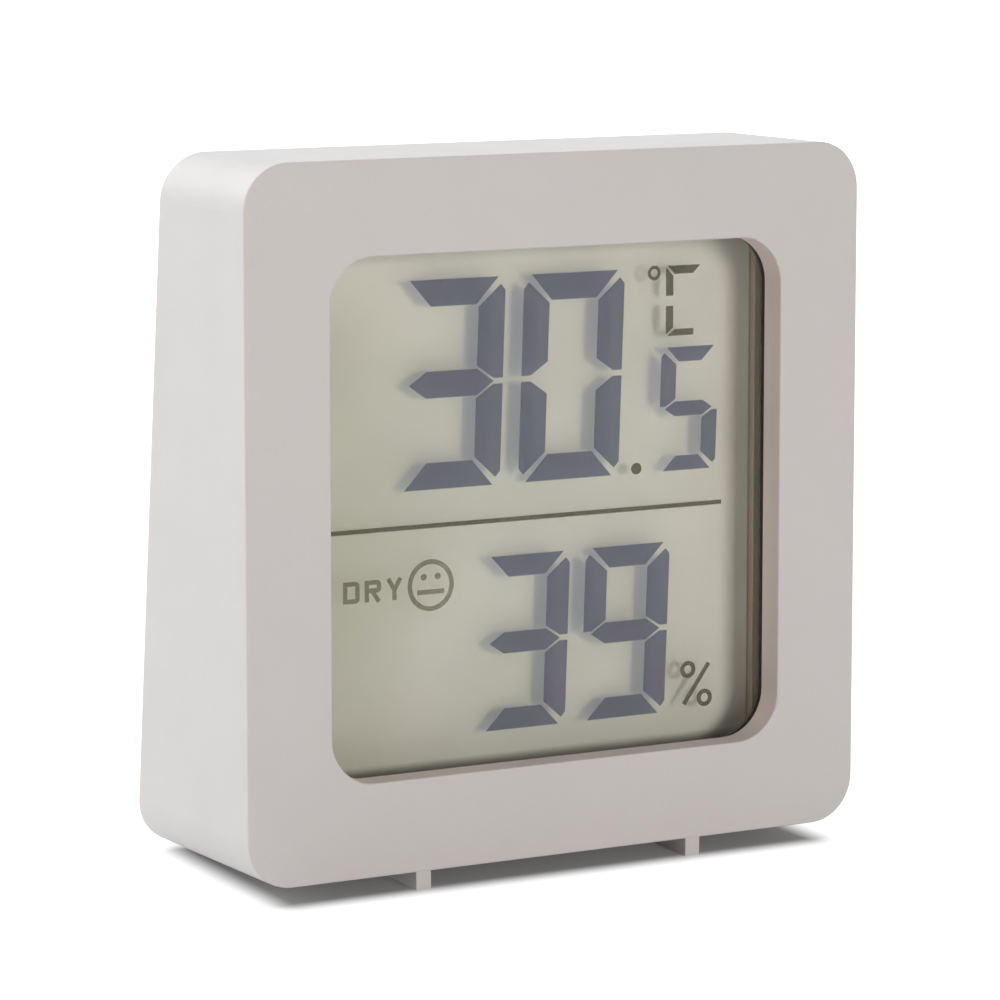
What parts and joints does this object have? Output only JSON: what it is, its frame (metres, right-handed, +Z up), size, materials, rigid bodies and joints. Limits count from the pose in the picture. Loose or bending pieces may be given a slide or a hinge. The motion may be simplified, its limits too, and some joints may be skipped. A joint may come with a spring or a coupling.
{
  "type": "thermometer",
  "caption": "Small square desk thermometer and humidity meter: a tapered pale casing on thin runners, a recessed segment display, and a round battery door behind.",
  "frame": {"origin": "on the table, under the middle of the box that the object fills", "axes": "+Z up; the display faces -Y, leaning back 2.4 degrees; +X to the viewer's right"},
  "size_m": [0.047, 0.017, 0.0485],
  "materials": {
    "casing_plastic": "fine matt moulded grain",
    "button_plastic": "fine matt moulded grain",
    "clear_window": "polished",
    "clear_adhesive": "dull",
    "black_foam": "matt foam",
    "polarizing_film": "satin",
    "display_glass": "polished",
    "seal_resin": "dull",
    "reflector_film": "satin, grey-green",
    "display_segments": "satin",
    "display_marks": "satin",
    "frame_plastic": "matt",
    "strip_rubber": "dull",
    "board_laminate": "satin lacquer",
    "black_resin": "glossy",
    "sensor_body": "matt",
    "crystal_can": "satin",
    "capacitor_ceramic": "dull",
    "resistor_black": "satin",
    "screw_steel": "zinc plated",
    "switch_plastic": "matt",
    "plunger_plastic": "matt",
    "cell_steel": "satin",
    "contact_metal": "nickel plated spring strip"
  },
  "bodies": {
    "casing": {"front_housing": "casing_plastic", "rear_cover": "casing_plastic", "display_window": "clear_window", "case_screws": "screw_steel", "window_adhesive": "clear_adhesive", "display_gasket": "black_foam", "front_polarizer": "polarizing_film", "front_glass": "display_glass", "glass_seal": "seal_resin", "rear_glass": "display_glass", "rear_polarizer": "polarizing_film", "reflector": "reflector_film", "temperature_digits": "display_segments", "humidity_digits": "display_segments", "divider_line": "display_marks", "unit_signs": "display_marks", "comfort_symbol": "display_marks", "state_word": "display_marks", "display_frame": "frame_plastic", "contact_strip": "strip_rubber", "circuit_board": "board_laminate", "controller_blob": "black_resin", "sensor": "sensor_body", "crystal": "crystal_can", "capacitors": "capacitor_ceramic", "resistors": "resistor_black", "board_screws": "screw_steel", "switch_body": "switch_plastic", "coin_cell": "cell_steel", "negative_contact": "contact_metal", "positive_contact": "contact_metal"},
    "battery_door": {"battery_door": "casing_plastic"},
    "unit_button": {"unit_button": "button_plastic"},
    "switch_plunger": {"switch_plunger": "plunger_plastic"}
  },
  "joints": [
    {"name": "door_turn", "type": "hinge", "parent": "casing", "child": "battery_door", "pos_m": [0, 0.00748, 0.01728], "axis": [0, 0.9982, 0.0605], "range_deg": [0, 40]},
    {"name": "unit_button_press", "type": "slide", "parent": "casing", "child": "unit_button", "axis": [0, -0.9991, 0.0419], "range_m": [0, 0.0003], "stiffness_N_per_m": 1500},
    {"name": "plunger_press", "type": "slide", "parent": "casing", "child": "switch_plunger", "axis": [0, -0.9991, 0.0419], "range_m": [0, 0.0003]}
  ],
  "couplings": [
    {"joint": "plunger_press", "follows": "unit_button_press", "ratio": 1}
  ]
}
